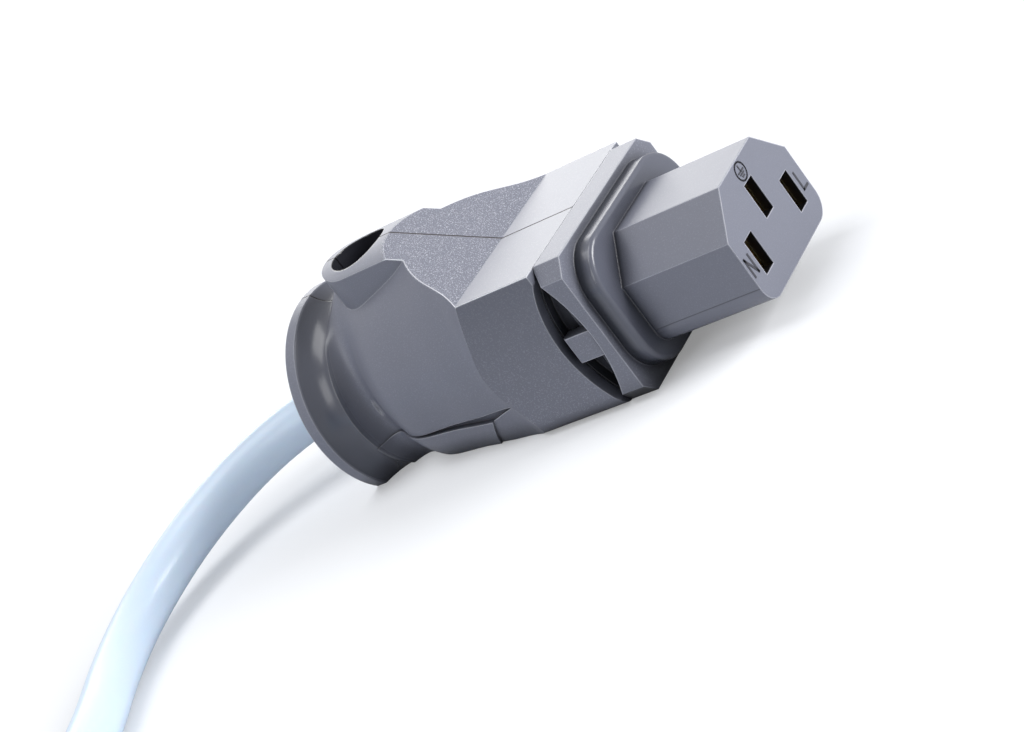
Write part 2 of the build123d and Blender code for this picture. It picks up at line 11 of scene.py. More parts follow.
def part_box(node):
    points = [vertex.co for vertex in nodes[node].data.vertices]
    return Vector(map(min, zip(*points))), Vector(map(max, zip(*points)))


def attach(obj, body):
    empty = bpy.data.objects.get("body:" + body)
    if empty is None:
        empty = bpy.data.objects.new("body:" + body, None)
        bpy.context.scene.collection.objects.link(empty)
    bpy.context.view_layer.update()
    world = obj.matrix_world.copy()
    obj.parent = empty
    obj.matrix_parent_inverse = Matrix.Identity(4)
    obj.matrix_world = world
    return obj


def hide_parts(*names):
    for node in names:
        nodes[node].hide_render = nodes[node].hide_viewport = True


bl_info = {
    "name": "Power Cord",
    "version": (1, 0, 0),
    "blender": (4, 5, 0),
    "location": "View3D > Sidebar > Power Cord",
    "description": "Finishes a rewireable power cord on its packed solids",
    "category": "Object",
}

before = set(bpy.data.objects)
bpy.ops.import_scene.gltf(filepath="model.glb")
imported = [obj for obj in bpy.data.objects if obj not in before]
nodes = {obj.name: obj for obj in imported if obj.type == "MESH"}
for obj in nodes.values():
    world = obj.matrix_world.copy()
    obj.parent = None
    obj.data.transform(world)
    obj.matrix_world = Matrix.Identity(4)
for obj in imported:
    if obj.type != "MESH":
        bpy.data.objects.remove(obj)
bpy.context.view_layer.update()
BODY = "root"
MM = 0.001

# Read from the solids, in the connector's place
SCREW_LOW, SCREW_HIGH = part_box("connector_housing_screw")
BOSS_X = (SCREW_LOW.x + SCREW_HIGH.x) / 2
SHELL_LOW, SHELL_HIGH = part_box("connector_left_shell")
CARRIER_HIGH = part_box("connector_contact_carrier")[1]
FACE_X = CARRIER_HIGH.x
TOP_Z = CARRIER_HIGH.z
JACKET_LOW, JACKET_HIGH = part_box("connector_jacket_end")
AXIS_Z = (JACKET_LOW.z + JACKET_HIGH.z) / 2
COIL_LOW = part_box("cord_coil")[0]

# Where the plug's housing lies, measured from the connector's
HOUSING_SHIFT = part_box("plug_housing_screw")[0] - SCREW_LOW

# Landmarks of the housing, in the connector's place
RAMP_START_X = -0.55 * MM
RAMP_SLOPE = 0.483
SEAM_GAP = 0.10 * MM
NOSE_REACH = 20.54 * MM
PAD_THICKNESS = 3.0 * MM
PAD_X = FACE_X - NOSE_REACH
LINE_Z = 9.51 * MM
NOSE_LOW_Z = 3.66 * MM
NOSE_ROUND = 3.0 * MM
WELL_RADIUS = 4.5 * MM
WELL_FLOOR_Z = 24.0 * MM
FLARE_FRONT_X = -30.5 * MM
RIM_FRONT_X = -35.6 * MM
GROOVE_WIDTH = 1.5 * MM
MOULD_LINE_WIDTH = 0.14 * MM

# Outline that holds the three slots: half widths from the middle, and heights
SLOTS_LOW_Z = 5.5 * MM
POLE_SLOTS_REACH = 9.0 * MM
POLE_SLOTS_TOP_Z = 15.0 * MM
EARTH_SLOT_REACH = 2.0 * MM
EARTH_SLOT_TOP_Z = 17.5 * MM

# Width of the soft step at the border of two finishes
STEP = 0.1 * MM

# Height on the block's sides round which their painted shade gets darker, and over how much height
BLOCK_SHADE_Z = 13.0 * MM
BLOCK_SHADE_HEIGHT = 18.0 * MM

# Size of the slow drift in colour, or of the fine grain, of each finish
SHELL_DRIFT = 7.0 * MM
CARRIER_DRIFT = 5.0 * MM
JACKET_DRIFT = 9.0 * MM
JACKET_GRAIN = 0.35 * MM
METAL_GRAIN = 0.4 * MM
INSULATION_GRAIN = 0.5 * MM
STRAP_GRAIN = 0.2 * MM
MARK_GRAIN = 0.2 * MM

# Samples that the bevel and ambient occlusion nodes take
NODE_SAMPLES = 8

# Tones mixed into the mouldings' own colours: painted glints, highlights and shade, and the dark
# seam and mould line
SHELL_PAINTED_GLINT = (0.60, 0.61, 0.68)
SHELL_PAINTED_HIGHLIGHT = (0.80, 0.81, 0.86)
SHELL_PAINTED_CREASE_SHADE = (0.018, 0.019, 0.026)
BLOCK_PAINTED_SHADE = (0.075, 0.079, 0.102)
SEAM_BROWN = (0.060, 0.046, 0.044)
FLARE_PAINTED_SHADE = (0.038, 0.041, 0.055)
WELL_PAINTED_SHADE = (0.008, 0.008, 0.011)
CARRIER_PAINTED_GLINT = (0.50, 0.51, 0.57)
CARRIER_PAINTED_HIGHLIGHT = (0.60, 0.61, 0.68)
CARRIER_PAINTED_CREASE_SHADE = (0.016, 0.017, 0.023)
PAD_PAINTED_SHADE = (0.060, 0.064, 0.085)
GROOVE_PAINTED_SHADE = (0.022, 0.024, 0.032)
MOULD_LINE_DARK = (0.030, 0.030, 0.038)
SLOT_PAINTED_SHADE = (0.003, 0.003, 0.004)

# The coil: angle over which the cord climbs from the lower turns to the upper ones
CLIMB = math.radians(130)

# How fast the bands on the earth's core pass along x, y and z, in radians per metre
BAND_RATES = (1600.0, 1100.0, 900.0)

# Weave of the strap: distance between its rows, and between its threads
ROW_PITCH = 0.7 * MM
THREAD_PITCH = 0.5 * MM

# A face of the strap that turns this far along y, or this far down, carries no pile
END_TURN = 0.5
FLOOR_TURN = -0.3

# Seeds of the strap's pile: where its loops stand, and how each is turned
PILE_SEED = 3
SPIN_SEED = 7

# Width of the earth sign's strokes, as a share of the letters' strokes
THIN_STROKE = 0.6

# Stage: light from all round, what the camera and shiny surfaces see there, and the floor
SKY_LIGHT = (0.93, 0.96, 1.0, 1.0)
SKY_STRENGTH = 0.36
BACKDROP = (0.8, 0.8, 0.8, 1.0)
FLOOR_PAPER = (0.66, 0.67, 0.69, 1.0)

# The floor's glow near and far, the distance halfway between them, and the step's width
NEAR_GLOW = 0.24
FAR_GLOW = 0.84
GLOW_DISTANCE = 1.1
GLOW_STEP = 1.2

# What the lamps point at, in the connector, and how the photo's camera is turned
LAMP_AIM = Vector((0, 0, 0.012))
CAMERA_RIGHT = Vector((0.7175, 0.3845, -0.5808))
CAMERA_UP = Vector((0.2865, 0.5971, 0.7493))

# Free stretches of the cord, as the solids have them
ROUTE = [
    (-0.026, 0.0, 0.0107), (-0.044, 0.0, 0.0107), (-0.0578, -0.0058, 0.0094),
    (-0.0676, -0.017, 0.0069), (-0.0708, -0.0315, 0.0046), (-0.0674, -0.0459, 0.0037),
    (-0.0606, -0.059, 0.0037), (-0.0554, -0.075, 0.004), (-0.0544, -0.091, 0.0044),
    (-0.0544, -0.116, 0.0044),
]
TAIL = [
    (-0.0214, -0.0982, 0.0116), (-0.0374, -0.0982, 0.0125), (-0.0521, -0.1046, 0.013),
    (-0.0633, -0.1165, 0.0129), (-0.0694, -0.132, 0.0138), (-0.0694, -0.1488, 0.0166),
    (-0.0633, -0.1643, 0.0202), (-0.0521, -0.1762, 0.0238), (-0.0374, -0.1826, 0.0259),
    (-0.0214, -0.1826, 0.0259),
]


class CordSizes(PropertyGroup):
    diameter: FloatProperty(
        name="Diameter", description="Outer diameter of the cord",
        default=JACKET_HIGH.z - JACKET_LOW.z, unit="LENGTH")
    length: FloatProperty(
        name="Length", description="Length of cord between the two housings",
        default=1.5, unit="LENGTH")
    outer_turn: FloatProperty(
        name="Outer turn", description="Radius of the coil's first turn on the floor",
        default=0.0516, unit="LENGTH")
    inner_turn: FloatProperty(
        name="Inner turn", description="Radius where the lower spiral meets the upper one",
        default=0.0316, unit="LENGTH")
    upper_turn: FloatProperty(
        name="Upper turn", description="Radius where the upper spiral ends",
        default=0.0458, unit="LENGTH")
    points_per_turn: IntProperty(
        name="Points per turn", description="Control points in each turn", default=24, min=12)
    colour: FloatVectorProperty(
        name="Colour", description="Colour of the jacket", subtype="COLOR",
        default=(0.60, 0.71, 0.84), min=0, max=1)


class HousingSizes(PropertyGroup):
    colour: FloatVectorProperty(
        name="Colour", description="Colour of the moulded shells", subtype="COLOR",
        default=(0.152, 0.159, 0.199), min=0, max=1)
    carrier_colour: FloatVectorProperty(
        name="Carrier colour", description="Colour of plate, pad and nose", subtype="COLOR",
        default=(0.152, 0.159, 0.199), min=0, max=1)
    grain: FloatProperty(
        name="Grain", description="Size of one grain of the spark-eroded surface",
        default=0.00026, unit="LENGTH", precision=5)
    grain_depth: FloatProperty(
        name="Grain depth", description="Depth of the grain", default=0.00002,
        unit="LENGTH", precision=6)
    # Reach of the ambient occlusion that sets the painted shade in creases
    crease_reach: FloatProperty(
        name="Crease reach", description="How far the shading of inner corners reaches",
        default=0.0045, unit="LENGTH", precision=5)
    # The edge rounding also sets the width of the painted edge highlights
    edge_round: FloatProperty(
        name="Edge rounding", description="Rounding of the moulded edges", default=0.00030,
        unit="LENGTH", precision=5)


class MarkSizes(PropertyGroup):
    letter_height: FloatProperty(
        name="Letter height", description="Height of the pole letters", default=0.0026,
        unit="LENGTH", precision=5)
    letter_place: FloatProperty(
        name="Letter place", description="How far N and L lie from the middle", default=0.0099,
        unit="LENGTH", precision=5)
    earth_place: FloatProperty(
        name="Earth sign place", description="Height of the earth sign's middle",
        default=0.0177, unit="LENGTH", precision=5)
    earth_radius: FloatProperty(
        name="Earth sign radius", description="Radius of the ring round the earth sign",
        default=0.00125, unit="LENGTH", precision=5)
    stroke_width: FloatProperty(
        name="Stroke width", description="Width of one stroke", default=0.00036,
        unit="LENGTH", precision=5)
    stroke_rise: FloatProperty(
        name="Stroke rise", description="How far the strokes stand off the face",
        default=0.00004, unit="LENGTH", precision=6)


class StrapSizes(PropertyGroup):
    loop_density: FloatProperty(
        name="Loops per square metre", description="How densely the loops stand on the strap",
        default=900000.0)
    loop_radius: FloatProperty(
        name="Loop radius", description="Radius of one loop of the woven pile",
        default=0.00042, unit="LENGTH", precision=5)
    thread_radius: FloatProperty(
        name="Thread radius", description="Radius of the thread of a loop",
        default=0.00006, unit="LENGTH", precision=6)


class StageSizes(PropertyGroup):
    floor_radius: FloatProperty(
        name="Floor radius", description="Half width of the floor", default=4.0, unit="LENGTH")
    lens: FloatProperty(
        name="Lens", description="Focal length in millimetres", default=91.4)
    camera_place: FloatVectorProperty(
        name="Camera", description="Place of the camera", subtype="TRANSLATION",
        unit="LENGTH", default=(0.2172, -0.2556, 0.1200))


class PowerCordSettings(PropertyGroup):
    cord: PointerProperty(type=CordSizes)
    housing: PointerProperty(type=HousingSizes)
    marks: PointerProperty(type=MarkSizes)
    strap: PointerProperty(type=StrapSizes)
    stage: PointerProperty(type=StageSizes)


def settings():
    return bpy.context.scene.power_cord


# Shader maths


class Quantity:
    """One value in a node tree. Arithmetic on it adds Math nodes."""

    def __init__(self, shading, socket):
        self.shading = shading
        self.socket = socket

    def _math(self, operation, *values, clamp=False):
        made = self.shading.node(
            "ShaderNodeMath", {"operation": operation, "use_clamp": clamp}, dict(enumerate(values)))
        return Quantity(self.shading, made.outputs[0])

    def __add__(self, other):
        return self._math("ADD", self, other)

    __radd__ = __add__

    def __mul__(self, other):
        return self._math("MULTIPLY", self, other)

    __rmul__ = __mul__

    def __sub__(self, other):
        return self._math("SUBTRACT", self, other)

    def __rsub__(self, other):
        return self._math("SUBTRACT", other, self)

    def clamped(self):
        """Held between 0 and 1."""
        return self._math("ADD", self, 0.0, clamp=True)

    def above(self, edge, width):
        """0 below the edge and 1 above it, with a soft step of that width."""
        return self._math("MULTIPLY", self - (edge - width / 2), 1 / width, clamp=True)

    def below(self, edge, width):
        """1 below the edge and 0 above it."""
        return 1 - self.above(edge, width)

    def larger(self, other):
        return self._math("MAXIMUM", self, other)

    def smaller(self, other):
        return self._math("MINIMUM", self, other)

    def sine(self):
        return self._math("SINE", self)


class Shading:
    """An emptied shader tree and the nodes that are put in it."""

    def __init__(self, tree):
        self.tree = tree
        self.tree.nodes.clear()

    def node(self, kind, options=None, sockets=None):
        """Adds a node: its options first, then the values or links of its sockets."""
        made = self.tree.nodes.new(kind)
        for name, value in (options or {}).items():
            setattr(made, name, value)
        for name, value in (sockets or {}).items():
            if isinstance(value, Quantity):
                value = value.socket
            if isinstance(value, bpy.types.NodeSocket):
                self.tree.links.new(value, made.inputs[name])
            else:
                made.inputs[name].default_value = value
        return made

    def quantity(self, node, output=0):
        return Quantity(self, node.outputs[output])

    def place(self, origin=(0, 0, 0)):
        """Object coordinates, measured from origin."""
        coordinates = self.node("ShaderNodeTexCoord").outputs["Object"]
        return self.node(
            "ShaderNodeVectorMath", {"operation": "SUBTRACT"},
            {0: coordinates, 1: tuple(origin)}).outputs[0]

    def parts(self, vector):
        split = self.node("ShaderNodeSeparateXYZ", None, {0: vector})
        return [self.quantity(split, axis) for axis in range(3)]

    def noise(self, vector, size, detail=2.0, roughness=0.5):
        made = self.node(
            "ShaderNodeTexNoise", None,
            {"Vector": vector, "Scale": 1 / size, "Detail": detail, "Roughness": roughness})
        return self.quantity(made)

    def mix(self, factor, first, second):
        """Colour between first and second."""
        first, second = (
            (*value, 1.0) if isinstance(value, tuple) else value for value in (first, second))
        # Sockets 0, 6 and 7 and output 2 are those of a colour mix
        return self.node(
            "ShaderNodeMix", {"data_type": "RGBA"}, {0: factor, 6: first, 7: second}).outputs[2]

    def bump(self, height, depth, normal=None):
        sockets = {"Height": height, "Distance": depth, "Strength": 1.0}
        if normal is not None:
            sockets["Normal"] = normal
        return self.node("ShaderNodeBump", None, sockets).outputs[0]


class Finish(Shading):
    """A procedural material for one of the object's finishes."""

    def __init__(self, name):
        self.material = bpy.data.materials.new(name)
        self.material.use_nodes = True
        super().__init__(self.material.node_tree)

    def close(self, shader):
        """Ends the material in this shader."""
        self.node("ShaderNodeOutputMaterial", None, {0: shader.outputs[0]})
        return self.material

    def surface(self, sockets):
        """Ends the material in a Principled shader that has these sockets."""
        return self.close(self.node("ShaderNodeBsdfPrincipled", None, sockets))


# Finishes


def darker(colour, share):
    """The colour with each channel brought down to this share."""
    return tuple(share * channel for channel in colour)


def rounded_edges(finish):
    """Normal with its sharp edges rounded, and how far each place lies on such an edge."""
    rounded = finish.node(
        "ShaderNodeBevel", {"samples": NODE_SAMPLES},
        {"Radius": settings().housing.edge_round}).outputs[0]
    flat = finish.node("ShaderNodeNewGeometry").outputs["True Normal"]
    same = finish.quantity(
        finish.node("ShaderNodeVectorMath", {"operation": "DOT_PRODUCT"}, {0: rounded, 1: flat}),
        "Value")
    return rounded, (1 - same).above(0.04, 0.06)


def closed_in(finish):
    """How much of each place's near surroundings is closed off, by the object or the floor."""
    open_share = finish.quantity(finish.node(
        "ShaderNodeAmbientOcclusion", {"samples": NODE_SAMPLES, "only_local": False},
        {"Distance": settings().housing.crease_reach}), "AO")
    return 1 - open_share


def shell_finish(name, origin):
    """Grey moulded shell: strong spark-eroded grain on the ramp, less on the sides, a smooth top,
    and a polished flare in front of the collar's rim. Painted glints on the grain, painted
    highlights on the edges, and painted shade in creases, on the block's sides, on the flare and in
    the well."""
    sizes = settings().housing
    finish = Finish(name)
    place = finish.place(origin)
    x, y, z = finish.parts(place)
    across = y.larger(0 - y)
    ramp_height = (RAMP_START_X - x).larger(0.0) * RAMP_SLOPE + TOP_Z
    upper = (z - ramp_height).above(-0.25 * MM, 2 * STEP)
    front = x.above(RAMP_START_X, 2 * STEP)
    block_side = across.above(SHELL_HIGH.y - 0.03 * MM, 0.02 * MM)
    flare = x.below(FLARE_FRONT_X, 2.5 * MM) * x.above(RIM_FRONT_X, 3 * STEP)
    # The distance from the well's axis is compared by its square
    from_well = (x - BOSS_X) * (x - BOSS_X) + y * y
    well = (
        from_well.below((WELL_RADIUS + STEP) ** 2, 2 * STEP * WELL_RADIUS)
        * z.above(WELL_FLOOR_Z - 0.5 * MM, 2 * STEP))
    closed = closed_in(finish)
    grain = finish.noise(place, sizes.grain, 2.0, 0.6)
    sparkle = finish.noise(place, sizes.grain * 0.62, 1.0, 0.5).above(0.62, 0.10)
    drift = finish.noise(place, SHELL_DRIFT)
    ramp = upper * (1 - front)
    strength = (ramp + block_side * 0.16 + 0.13).smaller(1.0) * (1 - flare)
    colour = finish.mix(
        (drift - 0.5).clamped() * 0.3, tuple(sizes.colour), darker(sizes.colour, 0.72))
    # Painted glints: light specks mixed into the colour on the grain
    colour = finish.mix(sparkle * strength * 0.6, colour, SHELL_PAINTED_GLINT)
    # Painted shade on the block's sides, darker higher up
    shade = block_side * (z.above(BLOCK_SHADE_Z, BLOCK_SHADE_HEIGHT) * 0.5 + 0.1)
    colour = finish.mix(shade, colour, BLOCK_PAINTED_SHADE)
    rounded, edge = rounded_edges(finish)
    # Painted highlights on the edges, stronger along the top, kept off the seam and out of creases
    edge = edge * across.above(4.5 * SEAM_GAP, SEAM_GAP) * closed.below(0.40, 0.2)
    colour = finish.mix(edge * (0.3 + upper * 0.65), colour, SHELL_PAINTED_HIGHLIGHT)
    seam = across.below(SEAM_GAP * 1.5, SEAM_GAP * 0.8) * z.above(AXIS_Z, 1 * MM)
    colour = finish.mix(seam * 0.8, colour, SEAM_BROWN)
    # Painted shade on the polished flare
    colour = finish.mix(flare * 0.7, colour, FLARE_PAINTED_SHADE)
    # Painted shade in creases, from ambient occlusion
    colour = finish.mix(closed.above(0.48, 0.7) * 0.9, colour, SHELL_PAINTED_CREASE_SHADE)
    # Painted black shade in the screw's well
    colour = finish.mix(well * 0.92, colour, WELL_PAINTED_SHADE)
    height = (grain + sparkle * 0.6) * (strength + 0.04)
    return finish.surface({
        "Base Color": colour,
        "Roughness": (
            0.44 - flare * 0.21 + grain * strength * 0.10 - front * upper * 0.10
            - well * 0.26).larger(0.15),
        "Normal": finish.bump(height, sizes.grain_depth, rounded),
    })


def carrier_finish(name, origin, has_slots):
    """The carrier's moulding: grainy plate, polished pad, fine-grained nose, and painted black
    shade on the slots' walls where it has slots. Painted glints on the grain, painted highlights on
    the edges, and painted shade on the pad, in the groove round it and in creases."""
    sizes = settings().housing
    finish = Finish(name)
    place = finish.place(origin)
    x, y, z = finish.parts(place)
    across = y.larger(0 - y)
    past_plate = x.above(PAD_X + STEP, STEP)
    plate = 1 - past_plate
    pad = past_plate * x.below(PAD_X + PAD_THICKNESS + 0.5 * MM, 0.6 * MM)
    groove = past_plate * x.below(PAD_X + GROOVE_WIDTH, 1.1 * MM)
    nose = past_plate * (1 - pad)
    behind_face = nose * x.below(FACE_X - STEP, 0.5 * STEP)
    corner_top_z = NOSE_LOW_Z + NOSE_ROUND
    low_corner = behind_face * z.below(corner_top_z, STEP)
    mould_line = (
        behind_face * z.above(corner_top_z, 0.3 * STEP)
        * z.below(corner_top_z + MOULD_LINE_WIDTH, 0.3 * STEP))
    pole_slots = across.below(POLE_SLOTS_REACH, STEP) * z.below(POLE_SLOTS_TOP_Z, STEP)
    earth_slot = across.below(EARTH_SLOT_REACH, STEP) * z.below(EARTH_SLOT_TOP_Z, STEP)
    slots = (
        behind_face * pole_slots.larger(earth_slot) * z.above(SLOTS_LOW_Z, STEP)
        * (1.0 if has_slots else 0.0))
    closed = closed_in(finish)
    grain = finish.noise(place, sizes.grain * 0.8, 2.0, 0.6)
    sparkle = finish.noise(place, sizes.grain * 0.6, 1.0, 0.5).above(0.63, 0.10)
    drift = finish.noise(place, CARRIER_DRIFT)
    strength = plate * 0.35 + nose * (1 - low_corner) * 0.12 + 0.05
    colour = finish.mix(
        (drift - 0.45).clamped() * 0.3, tuple(sizes.carrier_colour),
        darker(sizes.carrier_colour, 0.75))
    # Painted glints: light specks mixed into the colour on the grain
    colour = finish.mix(sparkle * strength * 0.5, colour, CARRIER_PAINTED_GLINT)
    rounded, edge = rounded_edges(finish)
    # Painted highlights on the edges, kept out of creases
    edge = edge * closed.below(0.40, 0.2)
    colour = finish.mix(edge * 0.5, colour, CARRIER_PAINTED_HIGHLIGHT)
    # Painted shade on the pad, except on its edges
    colour = finish.mix(pad * (1 - edge) * 0.6, colour, PAD_PAINTED_SHADE)
    # Painted shade in the groove round the pad
    colour = finish.mix(groove * 0.85, colour, GROOVE_PAINTED_SHADE)
    colour = finish.mix(mould_line * 0.7, colour, MOULD_LINE_DARK)
    # Painted shade in creases, from ambient occlusion
    colour = finish.mix(closed.above(0.32, 0.5) * 0.9, colour, CARRIER_PAINTED_CREASE_SHADE)
    # Painted black shade on the slots' walls and in the deepest creases
    colour = finish.mix(slots.larger(closed.above(0.75, 0.2)), colour, SLOT_PAINTED_SHADE)
    return finish.surface({
        "Base Color": colour,
        "Roughness": 0.38 - pad * 0.14 - low_corner * 0.20 + grain * strength * 0.10,
        "Normal": finish.bump(
            (grain + sparkle * 0.6) * strength, sizes.grain_depth, rounded),
    })


def jacket_finish():
    """Smooth, slightly soft jacket of the cord, faintly uneven."""
    sizes = settings().cord
    finish = Finish("cord_jacket")
    place = finish.place()
    drift = finish.noise(place, JACKET_DRIFT)
    fine = finish.noise(place, JACKET_GRAIN, 3.0)
    colour = finish.mix(drift * 0.5, tuple(sizes.colour), (0.53, 0.65, 0.80))
    return finish.surface({
        "Base Color": colour,
        "Roughness": fine * 0.10 + 0.34,
        "Normal": finish.bump(fine * 0.3 + drift, 0.00003),
        "Subsurface Weight": 0.12,
        "Subsurface Scale": 0.002,
        "Coat Weight": 0.08,
    })


def metal_finish(name, colour, roughness):
    """Turned or stamped metal with fine tool marks."""
    finish = Finish(name)
    place = finish.place()
    marks = finish.noise(place, METAL_GRAIN, 4.0, 0.6)
    return finish.surface({
        "Base Color": finish.mix(marks, colour, darker(colour, 0.8)),
        "Metallic": 1.0,
        "Roughness": marks * 0.15 + roughness,
        "Normal": finish.bump(marks, 0.00001),
    })


def insulation_finish(name, colour, second=None):
    """Insulation of one core, the earth's with its second colour in slanting bands."""
    finish = Finish(name)
    place = finish.place()
    x, y, z = finish.parts(place)
    fine = finish.noise(place, INSULATION_GRAIN)
    turn = x * BAND_RATES[0] + y * BAND_RATES[1] + z * BAND_RATES[2]
    band = turn.sine().above(0.0, 0.1)
    return finish.surface({
        "Base Color": finish.mix(band, colour, second or colour),
        "Roughness": fine * 0.1 + 0.4,
    })


def strap_finish():
    """Black weave of the hook-and-loop strap."""
    finish = Finish("strap_weave")
    place = finish.place()
    x, y, z = finish.parts(place)
    rows = (y * (math.tau / ROW_PITCH)).sine()
    threads = ((x + z) * (math.tau / THREAD_PITCH)).sine()
    weave = rows * threads * 0.5 + 0.5
    fuzz = finish.noise(place, STRAP_GRAIN, 3.0)
    return finish.surface({
        "Base Color": finish.mix(fuzz, (0.018, 0.018, 0.020), (0.045, 0.045, 0.050)),
        "Roughness": 0.85,
        "Normal": finish.bump(weave + fuzz * 0.5, 0.00008),
        "Sheen Weight": 0.3,
        "Sheen Roughness": 0.5,
    })


def marks_painted_shade():
    """Dark colour of the thin strokes that stand for the moulded marks on the mating face: painted
    shade of the marks' recesses.
    """
    finish = Finish("face_marks")
    place = finish.place()
    grain = finish.noise(place, MARK_GRAIN)
    return finish.surface({
        # The dark colours are painted shade, as in the marks' recesses
        "Base Color": finish.mix(grain, (0.020, 0.020, 0.026), (0.045, 0.046, 0.058)),
        "Roughness": grain * 0.1 + 0.5,
        "Normal": finish.bump(grain, 0.00001),
    })


def dress(piece, material):
    """Gives a piece one material."""
    piece.data.materials.clear()
    piece.data.materials.append(material)


# Pieces


class POWERCORD_OT_stage(Operator):
    """Pale floor, soft lamps and the camera."""
    bl_idname = "power_cord.stage"
    bl_label = "Stage"

    def execute(self, context):
        sizes = settings().stage
        scene = context.scene
        scene.view_settings.view_transform = "Standard"
        self.make_world(scene)
        self.make_floor(sizes)
        self.make_lamps()
        self.make_camera(scene, sizes)
        return {"FINISHED"}

    @staticmethod
    def make_world(scene):
        world = bpy.data.worlds.new("studio")
        world.use_nodes = True
        scene.world = world
        studio = Shading(world.node_tree)
        path = studio.node("ShaderNodeLightPath")
        shown = studio.quantity(path, "Is Camera Ray")
        for ray in ("Is Transmission Ray", "Is Glossy Ray"):
            shown = shown.larger(studio.quantity(path, ray))
        dim = studio.node(
            "ShaderNodeBackground", None, {"Color": SKY_LIGHT, "Strength": SKY_STRENGTH})
        pale = studio.node("ShaderNodeBackground", None, {"Color": BACKDROP, "Strength": 1.0})
        both = studio.node(
            "ShaderNodeMixShader", None, {0: shown, 1: dim.outputs[0], 2: pale.outputs[0]})
        studio.node("ShaderNodeOutputWorld", None, {0: both.outputs[0]})

    @staticmethod
    def make_floor(sizes):
        half = sizes.floor_radius
        mesh = bpy.data.meshes.new("floor")
        corners = [(-half, -half, 0), (half, -half, 0), (half, half, 0), (-half, half, 0)]
        mesh.from_pydata(corners, [], [(0, 1, 2, 3)])
        floor = bpy.data.objects.new("floor", mesh)
        bpy.context.scene.collection.objects.link(floor)
        finish = Finish("floor_paper")
        path = finish.node("ShaderNodeLightPath")
        # The lamps don't reach the far floor, so it glows more, and for the camera alone
        distance = finish.quantity(finish.node(
            "ShaderNodeVectorMath", {"operation": "LENGTH"}, {0: finish.place()}), "Value")
        paper = finish.node("ShaderNodeBsdfDiffuse", None, {"Color": FLOOR_PAPER})
        glow = finish.node("ShaderNodeEmission", None, {
            "Color": finish.mix(
                distance.above(GLOW_DISTANCE, GLOW_STEP), (NEAR_GLOW / FAR_GLOW,) * 3, (1.0,) * 3),
            "Strength": finish.quantity(path, "Is Camera Ray") * FAR_GLOW})
        floor.data.materials.append(finish.close(finish.node(
            "ShaderNodeAddShader", None, {0: paper.outputs[0], 1: glow.outputs[0]})))

    @staticmethod
    def make_lamps():
        # Name, place, width, power
        lamps = [
            ("back_softbox", (-0.62, 0.68, 0.33), 0.50, 2.7),
            ("top_softbox", (-0.26, -0.10, 0.90), 0.60, 4.2),
            ("face_softbox", (0.85, 0.30, 0.34), 0.45, 11.0),
            ("front_fill", (-0.20, -0.85, 0.50), 0.50, 2.4),
        ]
        for name, place, width, power in lamps:
            data = bpy.data.lights.new(name, "AREA")
            data.shape = "SQUARE"
            data.size = width
            data.energy = power
            lamp = bpy.data.objects.new(name, data)
            lamp.location = place
            lamp.rotation_mode = "QUATERNION"
            aim = LAMP_AIM - Vector(place)
            lamp.rotation_quaternion = aim.to_track_quat("-Z", "Y")
            bpy.context.scene.collection.objects.link(lamp)

    @staticmethod
    def make_camera(scene, sizes):
        data = bpy.data.cameras.new("camera")
        data.lens = sizes.lens
        data.sensor_width = 36.0
        data.clip_start = 0.01
        data.clip_end = 20.0
        camera = bpy.data.objects.new("camera", data)
        back = CAMERA_RIGHT.cross(CAMERA_UP)
        turn = Matrix((CAMERA_RIGHT, CAMERA_UP, back)).transposed()
        camera.matrix_world = Matrix.Translation(sizes.camera_place) @ turn.to_4x4()
        scene.collection.objects.link(camera)
        scene.camera = camera


def coil_points(sizes):
    """Control points of the wound turns, from the straight that enters to the one that leaves."""
    middle_x = ROUTE[-1][0] + sizes.outer_turn
    middle_y = COIL_LOW.y + sizes.outer_turn + sizes.diameter / 2
    low, high = ROUTE[-1][2], TAIL[0][2]
    # The spirals go in and out by one diameter a turn
    pitch = sizes.diameter
    start = math.pi
    turn_back = start + math.tau * (sizes.outer_turn - sizes.inner_turn) / pitch
    end = math.pi / 2 + math.tau * math.ceil((turn_back - math.pi / 2) / math.tau)
    outermost = sizes.upper_turn - pitch / 2
    while sizes.inner_turn + pitch * (end - turn_back) / math.tau < outermost:
        end += math.tau
    count = round(sizes.points_per_turn * (end - start) / math.tau)
    points = []
    for index in range(count + 1):
        angle = start + (end - start) * index / count
        if angle < turn_back:
            radius = sizes.outer_turn - pitch * (angle - start) / math.tau
        else:
            share = (angle - turn_back) / (end - turn_back)
            radius = sizes.inner_turn + (sizes.upper_turn - sizes.inner_turn) * share
        rise = min(max((angle - turn_back + CLIMB) / CLIMB, 0.0), 1.0)
        height = low + (high - low) * rise * rise * (3 - 2 * rise)
        points.append((
            middle_x + radius * math.cos(angle), middle_y + radius * math.sin(angle), height))
    return points


class POWERCORD_OT_cord(Operator):
    """The cord: free stretch, coil and tail as one smooth line."""
    bl_idname = "power_cord.cord"
    bl_label = "Cord"

    def execute(self, context):
        sizes = settings().cord
        points = ROUTE + coil_points(sizes) + TAIL
        data = bpy.data.curves.new("cord_line", "CURVE")
        data.dimensions = "3D"
        data.bevel_depth = sizes.diameter / 2
        data.bevel_resolution = 10
        data.resolution_u = 8
        data.use_fill_caps = True
        spline = data.splines.new("NURBS")
        spline.points.add(len(points) - 1)
        for point, place in zip(spline.points, points):
            point.co = (*place, 1.0)
        spline.order_u = 3
        spline.use_endpoint_u = True
        cord = bpy.data.objects.new("cord_jacket", data)
        context.scene.collection.objects.link(cord)
        dress(cord, jacket_finish())
        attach(cord, BODY)
        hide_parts("cord", "cord_coil", "cord_tail")
        return {"FINISHED"}


